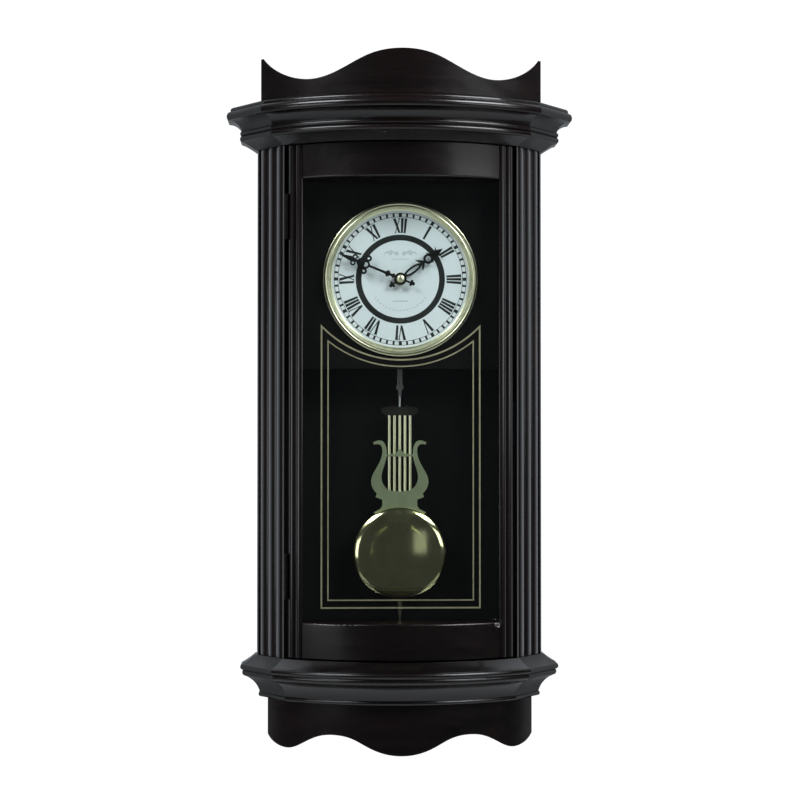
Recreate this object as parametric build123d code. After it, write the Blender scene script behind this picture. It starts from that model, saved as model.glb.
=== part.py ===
from build123d import *
import os
from math import asin, cos, hypot, radians, sin, sqrt

# Schoolhouse wall clock with a bowed front, a glazed door and a swinging lyre pendulum.
# Everything is drawn in millimetres with z = 0 at the lowest point of the apron, y = 0 on the
# wall and the front towards -Y. The export moves it down, so that the part's own origin is the
# round entry of the hanger keyhole on the wall plane.

# ---------------------------------------------------------------- driving dimensions
HANG_HEIGHT = 540.0          # keyhole entry above the lowest point
SIDE_HALF = 133.0            # half the width of the case body
SIDE_DEPTH = 20.0            # flat part of each side, from the wall forwards
CORNER_HALF = 107.3          # where the canted posts meet the bowed front
FRONT_DEPTH = 92.0           # wall to the middle of the bowed front
BOW_RADIUS = 178.0           # plan radius of the bowed front

APRON_TOP = 73.0
BODY_BOTTOM = 85.0           # top face of the bottom board
BODY_TOP = 583.0             # underside of the top board
CASE_TOP = 595.0             # top face of the top board
CORNICE_BOTTOM = 556.0
BOARD = 12.0                 # thickness of the case boards

DOOR_HALF = 103.2            # half the width of the door
DOOR_BOTTOM, DOOR_TOP = 86.5, 555.0
DOOR_BACK = -48.0            # rear plane of the door
OPENING_HALF = 90.0          # stile edge to the door's centre line
OPENING_BOTTOM, OPENING_TOP = 119.0, 524.0
POST_INNER = 106.4           # inner face of the canted posts

DIAL_HEIGHT = 434.0          # centre of the dial
BEZEL_RADIUS = 71.5
BEZEL_INNER = 63.6
DIAL_BOARD = (-42.0, -38.0)  # front and back planes of the dial board
DIAL_BOARD_BOTTOM = 351.0

MOVEMENT_BACK, MOVEMENT_FRONT = -12.0, -38.0
MOVEMENT_HALF = 36.0
MOVEMENT_BOTTOM, MOVEMENT_TOP = 376.0, 472.0
WHEEL_OFFSET = 12.0          # minute arbor to minute wheel
RUNNING = 0.08               # radial clearance of a shaft in its bearing

PIVOT_HEIGHT = 388.0         # pendulum pivot
PENDULUM_Y = -27.0
BOB_HEIGHT = 178.3
BOB_RADIUS = 44.2
ROD_SPACING = 4.9

HINGE_AXIS = (-104.8, -58.6)
HINGE_HEIGHTS = (160.0, 490.0)
HINGE_LENGTH = 40.0

MINUTE_ANGLE = 292.0         # clockwise from twelve, at rest
HOUR_ANGLE = 54.3

# ---------------------------------------------------------------- derived plan geometry
BOW_CENTRE = BOW_RADIUS - FRONT_DEPTH                       # y of the bow's centre
CORNER = (CORNER_HALF, BOW_CENTRE - sqrt(BOW_RADIUS**2 - CORNER_HALF**2))
SIDE_CORNER = (SIDE_HALF, -SIDE_DEPTH)
CANT_LENGTH = hypot(SIDE_HALF - CORNER[0], -SIDE_DEPTH - CORNER[1])
CANT_ALONG = ((CORNER[0] - SIDE_HALF) / CANT_LENGTH, (CORNER[1] + SIDE_DEPTH) / CANT_LENGTH)
CANT_OUT = (-CANT_ALONG[1], CANT_ALONG[0])                  # outward normal of the right cant
BOW_OUT = (CORNER[0] / BOW_RADIUS, (CORNER[1] - BOW_CENTRE) / BOW_RADIUS)
FAR = 220.0                                                 # longer than any cut needs

os.makedirs("parts", exist_ok=True)


# ---------------------------------------------------------------- helpers
def block(x, y, z):
    """A box from (low, high) pairs."""
    pairs = (x, y, z)
    middle = [(low + high) / 2 for low, high in pairs]
    size = [abs(high - low) for low, high in pairs]
    return Pos(*middle) * Box(*size)


def shaft(radius, x, z, y):
    """A cylinder along Y between the two planes in y."""
    return Pos(x, (y[0] + y[1]) / 2, z) * Rot(90, 0, 0) * Cylinder(radius, abs(y[1] - y[0]))


def upright(radius, x, y, z):
    """A cylinder along Z between the two heights in z."""
    return Pos(x, y, (z[0] + z[1]) / 2) * Cylinder(radius, abs(z[1] - z[0]))


def barrel(radius, x, y, z):
    """A cylinder along X between the two planes in x."""
    return Pos((x[0] + x[1]) / 2, y, z) * Rot(0, 90, 0) * Cylinder(radius, abs(x[1] - x[0]))


def along_y(sketch, y_back, y_front):
    """Extrude a sketch drawn in X and Z from the plane y_back forwards to y_front."""
    return extrude(Plane.XZ.offset(-y_back) * sketch, amount=y_back - y_front)


def polygon(points):
    return make_face(Polyline(*points, close=True))


def column(points, z):
    """Extrude a polygon drawn in plan between two heights."""
    return Pos(0, 0, z[0]) * extrude(polygon(points), amount=z[1] - z[0])


def turned(points, x, z):
    """Revolve an outline of (radius, y) points about the Y line through x and z."""
    face = make_face(Polyline(*points, close=True))
    return Pos(x, 0, z) * revolve(face, Axis.Y)


def mirrored(shape):
    return mirror(shape, about=Plane.YZ)


def both(shape):
    """The shape and its mirror image, as two separate solids."""
    return Compound(children=[shape, mirrored(shape)])


def group(shapes):
    return Compound(children=list(shapes))


def bow_y(x, offset=0.0):
    """y of the bowed front at x, moved outwards by offset."""
    return BOW_CENTRE - sqrt((BOW_RADIUS + offset) ** 2 - x**2)


def bow_arc(x_from, x_to, offset=0.0):
    """An arc of the bowed front in plan."""
    middle = (x_from + x_to) / 2
    stops = (x_from, middle, x_to)
    return ThreePointArc(*[(x, bow_y(x, offset)) for x in stops])


def bowed_board(half, outer, inner, z):
    """A board that follows the bow, between two offsets."""
    outside = bow_arc(-half, half, outer)
    inside = bow_arc(half, -half, inner)
    ends = [Line(outside @ 1, inside @ 0), Line(inside @ 1, outside @ 0)]
    return Pos(0, 0, z[0]) * extrude(make_face([outside, inside, *ends]), amount=z[1] - z[0])


def case_plan():
    """The case body in plan: flat back, short sides, canted posts and bowed front."""
    x, y = CORNER
    edges = [
        Polyline((x, y), SIDE_CORNER, (SIDE_HALF, 0), (-SIDE_HALF, 0), (-SIDE_HALF, -SIDE_DEPTH), (-x, y)),
        bow_arc(-x, x),
    ]
    return make_face(edges)


def bisector(a, b):
    """Unit vector halfway between two directions."""
    x, y = a[0] + b[0], a[1] + b[1]
    return x / hypot(x, y), y / hypot(x, y)


def moved(point, direction, distance):
    return point[0] + direction[0] * distance, point[1] + direction[1] * distance


FRONT_MITRE = bisector(BOW_OUT, CANT_OUT)
BACK_MITRE = bisector(CANT_OUT, (1.0, 0.0))


def moulding_front(profile):
    """The bowed stretch of a moulding, cut at its two mitres."""
    sweep = 84.0
    start = radians(-90 - sweep / 2)
    plane = Plane(
        origin=(0, BOW_CENTRE, 0),
        x_dir=(cos(start), sin(start), 0),
        z_dir=(sin(start), -cos(start), 0),
    )
    face = plane * (Pos(BOW_RADIUS, 0) * profile)
    ring = revolve(face, Axis((0, BOW_CENTRE, 0), (0, 0, 1)), sweep)
    apex = (0.0, CORNER[1] - FRONT_MITRE[1] * CORNER[0] / FRONT_MITRE[0])
    right = moved(apex, FRONT_MITRE, 2 * FAR)
    wedge = column([apex, right, (-right[0], right[1])], (0, CASE_TOP + 1))
    return ring & wedge


def moulding_return(profile):
    """The right-hand return of a moulding: along the cant, then along the short side."""
    inner = 12.0

    def run(origin, outward, length, region):
        plane = Plane(
            origin=(*origin, 0),
            x_dir=(*outward, 0),
            z_dir=(outward[1], -outward[0], 0),
        )
        bar = extrude(plane * profile, amount=length)
        return bar & column(region, (0, CASE_TOP + 1))

    inside_front = moved(CORNER, FRONT_MITRE, -inner)
    inside_back = moved(SIDE_CORNER, BACK_MITRE, -inner)
    cant = run(
        moved(SIDE_CORNER, CANT_ALONG, -FAR / 2),
        CANT_OUT,
        CANT_LENGTH + FAR,
        [inside_front, moved(CORNER, FRONT_MITRE, FAR), moved(SIDE_CORNER, BACK_MITRE, FAR), inside_back],
    )
    side = run(
        (SIDE_HALF, 0),
        (1.0, 0.0),
        FAR,
        [inside_back, moved(SIDE_CORNER, BACK_MITRE, FAR), (SIDE_HALF + FAR, 0), (SIDE_HALF - inner, 0)],
    )
    return cant + side


# ---------------------------------------------------------------- fasteners
def wood_screw(head, stem, length, drop=0.0):
    """A countersunk screw along Z: head face at z = drop, point downwards."""
    cone = Pos(0, 0, drop - head / 2) * Cone(stem, head + stem * 0.2, head)
    body = Pos(0, 0, drop - head - (length - head) / 2) * Cylinder(stem, length - head)
    return cone + body


def screws_forwards(places, head, stem, length):
    """Screws driven towards -Y, with their heads flush with the face at each (x, y, z)."""
    return [Pos(*p) * Rot(-90, 0, 0) * wood_screw(head, stem, length) for p in places]


def screws_backwards(places, head, stem, length):
    """Screws driven towards +Y, with their heads flush with the face at each (x, y, z)."""
    return [Pos(*p) * Rot(90, 0, 0) * wood_screw(head, stem, length) for p in places]


def drilled(shape, tools):
    for tool in tools:
        shape = shape - tool
    return shape


# ---------------------------------------------------------------- case
def canted_post():
    """Right-hand post: three broad reeds worked on its canted face."""
    land, depth = 2.2, 1.9
    width = (CANT_LENGTH - 2 * land) / 3

    def on_face(along, inward):
        # along is measured from the side corner forwards, inward from the cant plane
        point = moved(SIDE_CORNER, CANT_ALONG, along)
        return moved(point, CANT_OUT, -inward)

    edges = [Line(SIDE_CORNER, on_face(land, 0)), Line(on_face(land, 0), on_face(land, depth))]
    for i in range(3):
        start = land + i * width
        edges.append(
            ThreePointArc(
                on_face(start, depth), on_face(start + width / 2, 0), on_face(start + width, depth)
            )
        )
    end = CANT_LENGTH - land
    tip = on_face(CANT_LENGTH, 0.2)
    rest = [tip, (POST_INNER, tip[1] + 0.6), (POST_INNER, -26.0), (112.0, -SIDE_DEPTH), SIDE_CORNER]
    edges += [Polyline(on_face(end, depth), on_face(end, 0.2), *rest)]
    return Pos(0, 0, BODY_BOTTOM) * extrude(make_face(edges), amount=BODY_TOP - BODY_BOTTOM)


def side_board():
    return block((SIDE_HALF - BOARD, SIDE_HALF), (-SIDE_DEPTH, 0), (BODY_BOTTOM, BODY_TOP))


def case_board(z):
    return Pos(0, 0, z[0]) * extrude(case_plan(), amount=z[1] - z[0])


BACK_PANEL = (-10.0, -7.0)
ACCESS_HALF = 45.0
ACCESS = (368.0, 480.0)
RAIL_BOTTOM = 520.0
INSIDE_HALF = SIDE_HALF - BOARD


def back_panel():
    panel = block((-INSIDE_HALF, INSIDE_HALF), BACK_PANEL, (BODY_BOTTOM, RAIL_BOTTOM))
    return panel - block((-ACCESS_HALF, ACCESS_HALF), (-11, -6), ACCESS)


def side_batten():
    """Strip in the back corner that the back panel is screwed to."""
    return block((INSIDE_HALF - 8, INSIDE_HALF), (-18, BACK_PANEL[0]), (BODY_BOTTOM, RAIL_BOTTOM))


def panel_screws():
    places = [
        (side * (INSIDE_HALF - 4), BACK_PANEL[1], z) for side in (-1, 1) for z in (110, 240, 370, 500)
    ]
    return screws_forwards(places, 1.4, 1.3, 9.0)


KEYHOLE_RADIUS = 5.0
SLOT_HALF = 2.5
SLOT_LENGTH = 13.0
PLATE_THICK = 1.2
PLATE_HALF = 21.0
PLATE = (HANG_HEIGHT - 10, HANG_HEIGHT + 22)


def hanger_screws():
    places = [(side * 15.5, 0, HANG_HEIGHT + 6) for side in (-1, 1)]
    return screws_forwards(places, 1.1, 1.5, 9.0)


def hanger_plate():
    plate = block((-PLATE_HALF, PLATE_HALF), (-PLATE_THICK, 0), PLATE)
    plate = fillet(plate.edges().filter_by(Axis.Y), 4.0)
    plate -= shaft(KEYHOLE_RADIUS, 0, HANG_HEIGHT, (-PLATE_THICK - 1, 1))
    slot = (HANG_HEIGHT, HANG_HEIGHT + SLOT_LENGTH)
    plate -= block((-SLOT_HALF, SLOT_HALF), (-PLATE_THICK - 1, 1), slot)
    plate -= shaft(SLOT_HALF, 0, slot[1], (-PLATE_THICK - 1, 1))
    return drilled(plate, hanger_screws())


def hanger_rail():
    """Thick rail across the top of the back, with a pocket for the nail behind the keyhole."""
    rail = block((-INSIDE_HALF, INSIDE_HALF), (-14, 0), (RAIL_BOTTOM, BODY_TOP))
    recess = block((-PLATE_HALF, PLATE_HALF), (-PLATE_THICK, 0), PLATE)
    rail -= fillet(recess.edges().filter_by(Axis.Y), 4.0)
    rail -= block((-8, 8), (-11, 0), (HANG_HEIGHT - 7, HANG_HEIGHT + SLOT_LENGTH + 6))
    return drilled(rail, hanger_screws())


def header_rail():
    """Bowed rail between the posts, behind the front of the cornice."""
    return bowed_board(POST_INNER, -0.2, -14.0, (CORNICE_BOTTOM, BODY_TOP))


COVER = (-7.0, -5.0)
COVER_HALF = 50.0
COVER_Z = (362.0, 486.0)
BUTTON_PIVOT = 57.0
BUTTON_HEIGHT = 424.0
BUTTON_BORE = 1.6


def rear_cover():
    """Plate over the access opening, with a finger notch in its lower edge."""
    y_back, y_front = COVER[1], COVER[0]
    plate = block((-COVER_HALF, COVER_HALF), (y_front, y_back), COVER_Z)
    plate = fillet(plate.edges().filter_by(Axis.Y), 4.0)
    plate -= shaft(9.0, 0, COVER_Z[0], (y_front - 1, y_back + 1))
    for i in range(5):
        slot = block((-22, 22), (y_front - 1, y_back + 1), (390 + 7 * i, 393 + 7 * i))
        plate -= slot
    return plate


def turn_button():
    """Right-hand turn button: its arm lies over the cover, its boss stands on the back panel."""
    arm = block((BUTTON_PIVOT - 15, BUTTON_PIVOT), (-4.7, -3.2), (BUTTON_HEIGHT - 4, BUTTON_HEIGHT + 4))
    arm += shaft(4.0, BUTTON_PIVOT - 15, BUTTON_HEIGHT, (-4.7, -3.2))
    arm += shaft(4.0, BUTTON_PIVOT, BUTTON_HEIGHT, (-6.7, -3.2))
    return arm - shaft(BUTTON_BORE, BUTTON_PIVOT, BUTTON_HEIGHT, (-8, -1))


def button_screw():
    """Pan-head pivot screw of the right-hand turn button."""
    shank = shaft(BUTTON_BORE - RUNNING, BUTTON_PIVOT, BUTTON_HEIGHT, (-12, -2.9))
    head = shaft(3.2, BUTTON_PIVOT, BUTTON_HEIGHT, (-2.9, -1.3))
    slot_x = (BUTTON_PIVOT - 4, BUTTON_PIVOT + 4)
    slot = block(slot_x, (-1.9, -1.2), (BUTTON_HEIGHT - 0.4, BUTTON_HEIGHT + 0.4))
    return shank + head - slot


# ---------------------------------------------------------------- mouldings
def cornice_profile():
    """Section of the cornice: (distance out from the case, height)."""
    edges = [
        Polyline((0, CASE_TOP), (0, CORNICE_BOTTOM), (1.4, CORNICE_BOTTOM)),
        ThreePointArc((1.4, CORNICE_BOTTOM), (6.2, 559.2), (13.2, 563.2)),
        ThreePointArc((13.2, 563.2), (16.4, 566.0), (14.2, 568.9)),
        ThreePointArc((14.2, 568.9), (16.2, 571.0), (14.6, 573.2)),
        ThreePointArc((14.6, 573.2), (18.6, 579.6), (26.0, 583.0)),
        Line((26.0, 583.0), (27.2, 583.0)),
        ThreePointArc((27.2, 583.0), (28.6, 586.8), (26.8, 590.4)),
        Line((26.8, 590.4), (25.0, 591.2)),
        ThreePointArc((25.0, 591.2), (24.6, 593.6), (22.6, CASE_TOP)),
        Line((22.6, CASE_TOP), (0, CASE_TOP)),
    ]
    return make_face(edges)


APRON_SET_BACK = 7.0
LOWER_BOTTOM = 46.0


def lower_profile():
    """Section of the lower moulding: (distance out from the case, height)."""
    back = -APRON_SET_BACK
    edges = [
        Polyline((0, BODY_BOTTOM), (0, APRON_TOP), (back, APRON_TOP), (back, LOWER_BOTTOM), (-3.0, LOWER_BOTTOM)),
        ThreePointArc((-3.0, LOWER_BOTTOM), (-1.4, 48.0), (-2.6, 50.0)),
        ThreePointArc((-2.6, 50.0), (2.2, 59.4), (11.0, 65.6)),
        ThreePointArc((11.0, 65.6), (13.6, 68.4), (12.8, 71.2)),
        ThreePointArc((12.8, 71.2), (15.5, 74.0), (13.2, 76.8)),
        ThreePointArc((13.2, 76.8), (7.4, 80.6), (2.0, BODY_BOTTOM)),
        Line((2.0, BODY_BOTTOM), (0, BODY_BOTTOM)),
    ]
    return make_face(edges)


# ---------------------------------------------------------------- pediment and apron
def symmetric(half_face):
    """A face and its mirror image about x = 0, joined."""
    return half_face + mirror(half_face, about=Plane.YZ)


def scalloped(half_points):
    """Smooth edge through points given from the middle outwards, and through their mirror images."""
    left = [(-x, z) for x, z in reversed(half_points[1:])]
    return Spline(*left, *half_points)


def shaped_board(outline, half, outer, inner, z):
    """A bowed board sawn to an outline of X and Z."""
    return bowed_board(half, outer, inner, z) & along_y(outline, 0, -FAR)


CREST = [(0, 635), (28, 630.6), (57, 616.6), (80, 609.9), (106, 615.6), (125.5, 632.4)]
SKIRT = [
    (0, 0), (15, 1.7), (31, 7.8), (46, 15.2), (60, 17.7),
    (74, 16.2), (88, 9.6), (103, 3.0), (114, 5.2), (122.5, 13.6),
]


def pediment():
    """Crest board: two pointed ears, two hollows and a raised middle."""
    half, (ear_x, ear_z) = 128.0, CREST[-1]
    right = [(ear_x, ear_z), (half, ear_z), (half, CASE_TOP)]
    base = right + [(-x, z) for x, z in reversed(right)]
    outline = make_face([scalloped(CREST), Polyline(*base)])
    return shaped_board(outline, half, 23.0, 12.0, (CASE_TOP, 640))


def apron():
    """Skirt board below the lower moulding, with a scalloped lower edge."""
    (half, end), tongue = SKIRT[-1], 98.0
    side = [(half, end), (half, LOWER_BOTTOM), (tongue, LOWER_BOTTOM), (tongue, APRON_TOP)]
    outline = make_face([scalloped(SKIRT), Polyline(*side, *[(-x, z) for x, z in reversed(side)])])
    back = -APRON_SET_BACK
    return shaped_board(outline, half, back, back - 10, (-5, APRON_TOP))


def apron_block(x):
    """Glue block between the apron's back and the underside of the bottom board."""
    back = bow_y(x, -APRON_SET_BACK - 10)
    shape = block((x - 12, x + 12), (back - 6, back + 14), (APRON_TOP - 16, APRON_TOP))
    return shape - bowed_board(120, 0, -APRON_SET_BACK - 10, (0, APRON_TOP))


# ---------------------------------------------------------------- door
RABBET = 3.8
GLASS = (-57.0, -54.5)
HINGE_RADIUS = 1.5
LEAF = 0.8


def bead_edges(x_from, x_to, count, offset):
    """Beads in plan between two x positions, on a curve inside the bow."""
    width = (x_to - x_from) / count
    edges = []
    for i in range(count):
        a = x_from + i * width
        b = a + width
        middle = (a + b) / 2
        edges.append(
            ThreePointArc((a, bow_y(a, -offset)), (middle, bow_y(middle)), (b, bow_y(b, -offset)))
        )
    return edges


def hinge_reliefs():
    """Room around the hinge knuckles in the door's edge."""
    length = HINGE_LENGTH + 1
    return [upright(2.3, *HINGE_AXIS, (z - length / 2, z + length / 2)) for z in HINGE_HEIGHTS]


def door_stile():
    """Right-hand stile: two beads in front, a rabbet for the glass behind."""
    beads = bead_edges(OPENING_HALF, DOOR_HALF - 0.4, 2, 2.0)
    start, end = beads[0] @ 0, beads[-1] @ 1
    outline = Polyline(
        end,
        (DOOR_HALF, end.Y + 0.4),
        (DOOR_HALF, DOOR_BACK),
        (OPENING_HALF + RABBET, DOOR_BACK),
        (OPENING_HALF + RABBET, GLASS[0]),
        (OPENING_HALF, GLASS[0]),
        start,
    )
    return Pos(0, 0, DOOR_BOTTOM) * extrude(make_face([*beads, outline]), amount=DOOR_TOP - DOOR_BOTTOM)


def door_rail(z, rabbet_z):
    """A rail with a flat back and a bowed front; rabbet_z is the side that takes the glass."""
    front = bow_arc(-OPENING_HALF, OPENING_HALF, -1.0)
    back = Polyline(front @ 1, (OPENING_HALF, DOOR_BACK), (-OPENING_HALF, DOOR_BACK), front @ 0)
    rail = Pos(0, 0, z[0]) * extrude(make_face([front, back]), amount=z[1] - z[0])
    front_edges = [e for e in rail.edges() if e.center().Y < -80 and abs(e.center().Z - rabbet_z[2]) < 0.1]
    rail = fillet(front_edges, 1.6)
    return rail - block((-FAR, FAR), (GLASS[0], DOOR_BACK + 1), rabbet_z[:2])


def door_glass():
    half = OPENING_HALF + RABBET - 0.2
    return block((-half, half), GLASS, (OPENING_BOTTOM - RABBET + 0.2, OPENING_TOP + RABBET - 0.2))


def glass_retainers():
    """Four strips in the rabbet behind the glass."""
    y = (GLASS[1], DOOR_BACK - 0.4)
    outer = OPENING_HALF + RABBET
    low, high = OPENING_BOTTOM - RABBET, OPENING_TOP + RABBET
    strips = [
        block((-OPENING_HALF, OPENING_HALF), y, (low, OPENING_BOTTOM)),
        block((-OPENING_HALF, OPENING_HALF), y, (OPENING_TOP, high)),
        block((-outer, -OPENING_HALF), y, (low, high)),
        block((OPENING_HALF, outer), y, (low, high)),
    ]
    return group(strips)


KNOB_AT = (87.2, 116.8)


def door_knob():
    """Small turned knob with a threaded stud into the bottom rail."""
    seat = bow_y(KNOB_AT[0], -1.0) + 0.6
    outline = [
        (0, seat + 9), (1.0, seat + 9), (1.0, seat), (2.2, seat), (2.2, seat - 1.2), (1.3, seat - 2.0),
        (1.3, seat - 3.4), (2.3, seat - 4.4), (2.8, seat - 5.8), (2.5, seat - 7.2), (1.4, seat - 8.2),
        (0, seat - 8.5),
    ]
    return turned(outline, *KNOB_AT)


def knob_stud_hole():
    seat = bow_y(KNOB_AT[0], -1.0) + 0.6
    return shaft(1.0, *KNOB_AT, (seat, seat + 9)) + shaft(2.4, *KNOB_AT, (seat - 4.0, seat))


def knuckle_spans(height):
    """Three knuckles: the outer two belong to the case leaf, the middle one to the door leaf."""
    low = height - HINGE_LENGTH / 2
    first, second = HINGE_LENGTH * 0.3, HINGE_LENGTH * 0.7
    gap = 0.25
    case = [(low, low + first - gap), (low + second + gap, low + HINGE_LENGTH)]
    door = [(low + first, low + second)]
    return case, door


def hinge_leaf(height, spans, x, back):
    """A leaf between two x planes with its knuckles; the pin bore is left to the caller."""
    axis_x, axis_y = HINGE_AXIS
    leaf = block(x, (axis_y + 2.2, back), (height - HINGE_LENGTH / 2, height + HINGE_LENGTH / 2))
    for low, high in spans:
        leaf += block(x, (axis_y, axis_y + 2.2), (low, high))
        leaf += upright(HINGE_RADIUS, axis_x, axis_y, (low, high))
    return leaf


PIN_RADIUS = 0.75


def hinge_screws(x, y, outward, length):
    """Two screws for each hinge leaf; outward is the side of the leaf that shows."""
    tools = []
    for height in HINGE_HEIGHTS:
        for dz in (-12, 12):
            turn = Rot(0, 90 * outward, 0)
            tools.append(Pos(x, y, height + dz) * turn * wood_screw(0.7, 0.8, length))
    return tools


CASE_LEAF = (-POST_INNER, -POST_INNER + LEAF)
CASE_LEAF_BACK = -42.5
DOOR_LEAF = (-DOOR_HALF - LEAF, -DOOR_HALF)
DOOR_LEAF_BACK = DOOR_BACK - 1.0
CASE_HINGE_SCREWS = hinge_screws(CASE_LEAF[1], -45.2, 1, 5.0)
DOOR_HINGE_SCREWS = hinge_screws(DOOR_LEAF[0], -52.5, -1, 7.0)


def case_hinge_leaves():
    leaves = []
    for height in HINGE_HEIGHTS:
        case, _ = knuckle_spans(height)
        leaf = hinge_leaf(height, case, CASE_LEAF, CASE_LEAF_BACK)
        for low, high in case:
            leaf -= upright(PIN_RADIUS, *HINGE_AXIS, (low - 1, high + 1))
        leaves.append(drilled(leaf, CASE_HINGE_SCREWS))
    return group([*leaves, *hinge_pins()])


def door_hinge_leaves():
    leaves = []
    for height in HINGE_HEIGHTS:
        _, door = knuckle_spans(height)
        leaf = hinge_leaf(height, door, DOOR_LEAF, DOOR_LEAF_BACK)
        bore = PIN_RADIUS + RUNNING
        leaf -= upright(bore, *HINGE_AXIS, (height - HINGE_LENGTH, height + HINGE_LENGTH))
        leaves.append(drilled(leaf, DOOR_HINGE_SCREWS))
    return group(leaves)


def hinge_pins():
    pins = []
    for height in HINGE_HEIGHTS:
        reach = HINGE_LENGTH / 2
        pin = upright(PIN_RADIUS, *HINGE_AXIS, (height - reach, height + reach))
        for end in (height - reach, height + reach):
            pin += Pos(*HINGE_AXIS, end) * Sphere(1.3)
            side = -1 if end < height else 1
            shank = upright(PIN_RADIUS, *HINGE_AXIS, (0, CASE_TOP))
            pin -= upright(2, *HINGE_AXIS, (end - side * 2, end)) - shank
        pins.append(pin)
    return pins


CATCH_HEIGHT = 300.0
STRIKE = (DOOR_BACK, DOOR_BACK + 1.0)


def strike_plate():
    plate = block((95, 103), STRIKE, (CATCH_HEIGHT - 12, CATCH_HEIGHT + 12))
    return drilled(plate, strike_screws())


def strike_screws():
    places = [(99, STRIKE[1], CATCH_HEIGHT + dz) for dz in (-8, 8)]
    return screws_forwards(places, 0.9, 0.9, 7.0)


def catch_case():
    """Magnetic catch on the right-hand post, just behind the strike plate."""
    case = block((94.4, POST_INNER), (-46.6, -34.0), (CATCH_HEIGHT - 20, CATCH_HEIGHT + 20))
    return case - block((96, 103), (-46.7, -38.0), (CATCH_HEIGHT - 9, CATCH_HEIGHT + 9))


def catch_magnet():
    return block((96, 103), (-46.6, -38.0), (CATCH_HEIGHT - 9, CATCH_HEIGHT + 9))


# ---------------------------------------------------------------- dial
def dial_board_screws():
    places = [(side * 100, DIAL_BOARD[0], z) for side in (-1, 1) for z in (372, 453, 534)]
    return screws_backwards(places, 1.4, 1.4, 12.0)


STEM_RADIUS = 4.0


def dial_board():
    board = block((-POST_INNER, POST_INNER), DIAL_BOARD, (DIAL_BOARD_BOTTOM, CORNICE_BOTTOM - 1))
    board -= shaft(STEM_RADIUS + 0.3, 0, DIAL_HEIGHT, (-43, -37))
    return drilled(board, dial_board_screws())


def dial_cleat():
    """Right-hand cleat behind the dial board."""
    return block((94.4, POST_INNER), (DIAL_BOARD[1], -26.5), (DIAL_BOARD_BOTTOM + 4, CORNICE_BOTTOM - 6))


DIAL_PLATE = (-43.0, -42.0)
PLATE_RADIUS = 70.0


def dial_plate():
    plate = shaft(PLATE_RADIUS, 0, DIAL_HEIGHT, DIAL_PLATE)
    return plate - shaft(STEM_RADIUS + 0.3, 0, DIAL_HEIGHT, (-44, -41))


def bezel():
    """Rolled ring round the dial: a rounded crown and a sloping inner flange."""
    back = DIAL_PLATE[1]
    edges = [
        Polyline((BEZEL_RADIUS, back - 2.6), (BEZEL_RADIUS, back), (PLATE_RADIUS + 0.1, back)),
        Polyline((PLATE_RADIUS + 0.1, back), (PLATE_RADIUS + 0.1, back - 1.1), (BEZEL_INNER, back - 1.1)),
        Line((BEZEL_INNER, back - 1.1), (BEZEL_INNER, back - 1.7)),
        ThreePointArc((BEZEL_INNER, back - 1.7), (65.4, back - 4.2), (67.4, back - 7.0)),
        ThreePointArc((67.4, back - 7.0), (70.2, back - 7.0), (BEZEL_RADIUS, back - 2.6)),
    ]
    return Pos(0, 0, DIAL_HEIGHT) * revolve(make_face(edges), Axis.Y)


# ---------------------------------------------------------------- movement
WALL = 2.0
FRONT_WALL = (MOVEMENT_FRONT, MOVEMENT_FRONT + WALL)
REAR_PLATE = (MOVEMENT_BACK - WALL, MOVEMENT_BACK)
ARBOR_RADIUS = 1.5
PIPE_BORE = ARBOR_RADIUS + RUNNING
PIPE_RADIUS = 2.6
STEM_BORE = PIPE_RADIUS + RUNNING
WHEEL_SHAFT = 1.1
SCREW_SPOTS = [(x, z) for x in (-31.5, 31.5) for z in (MOVEMENT_BOTTOM + 4.5, MOVEMENT_TOP - 4.5)]
BATTERY_HEIGHT = 459.5
BATTERY_RADIUS = 7.05
BATTERY_HALF = 25.0
BATTERY_Y = -22.4
SWITCH_HEIGHT = 396.0
SWITCH_X = -16.0
SWITCH_TRAVEL = 4.0


def movement_screws():
    places = [(x, REAR_PLATE[1], z) for x, z in SCREW_SPOTS]
    return screws_forwards(places, 1.0, 0.9, 9.0)


def movement_housing():
    """Front shell of the movement: four walls, a front wall and four screw posts."""
    depth = (MOVEMENT_FRONT, REAR_PLATE[0])
    outer = block((-MOVEMENT_HALF, MOVEMENT_HALF), depth, (MOVEMENT_BOTTOM, MOVEMENT_TOP))
    outer = fillet(outer.edges().filter_by(Axis.Y), 4.0)
    inner = block(
        (-MOVEMENT_HALF + WALL, MOVEMENT_HALF - WALL),
        (FRONT_WALL[1], REAR_PLATE[0] + 1),
        (MOVEMENT_BOTTOM + WALL, MOVEMENT_TOP - WALL),
    )
    shell = outer - inner
    for x, z in SCREW_SPOTS:
        shell += shaft(2.8, x, z, (FRONT_WALL[1], REAR_PLATE[0]))
    shell += shaft(3.0, WHEEL_OFFSET, DIAL_HEIGHT, (FRONT_WALL[1], FRONT_WALL[1] + 1.6))
    shell -= shaft(0.8 + RUNNING, WHEEL_OFFSET, DIAL_HEIGHT, (FRONT_WALL[0] + 0.6, FRONT_WALL[1] + 2))
    shell -= shaft(STEM_RADIUS, 0, DIAL_HEIGHT, (MOVEMENT_FRONT - 1, FRONT_WALL[1] + 1))
    # slot for the pendulum hanger, and the boss that carries its pivot pin
    shell -= block((-9, 9), (PENDULUM_Y - 3, PENDULUM_Y + 3), (MOVEMENT_BOTTOM - 1, MOVEMENT_BOTTOM + 3))
    shell += shaft(3.4, 0, PIVOT_HEIGHT, (FRONT_WALL[1], PENDULUM_Y - 1.6))
    shell -= shaft(1.2, 0, PIVOT_HEIGHT, (FRONT_WALL[1] - 1, PENDULUM_Y))
    for i in range(5):
        shell -= shaft(1.0, -22 + 4 * (i - 2), 400, (MOVEMENT_FRONT - 1, FRONT_WALL[1] + 1))
    return drilled(shell, movement_screws())


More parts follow.
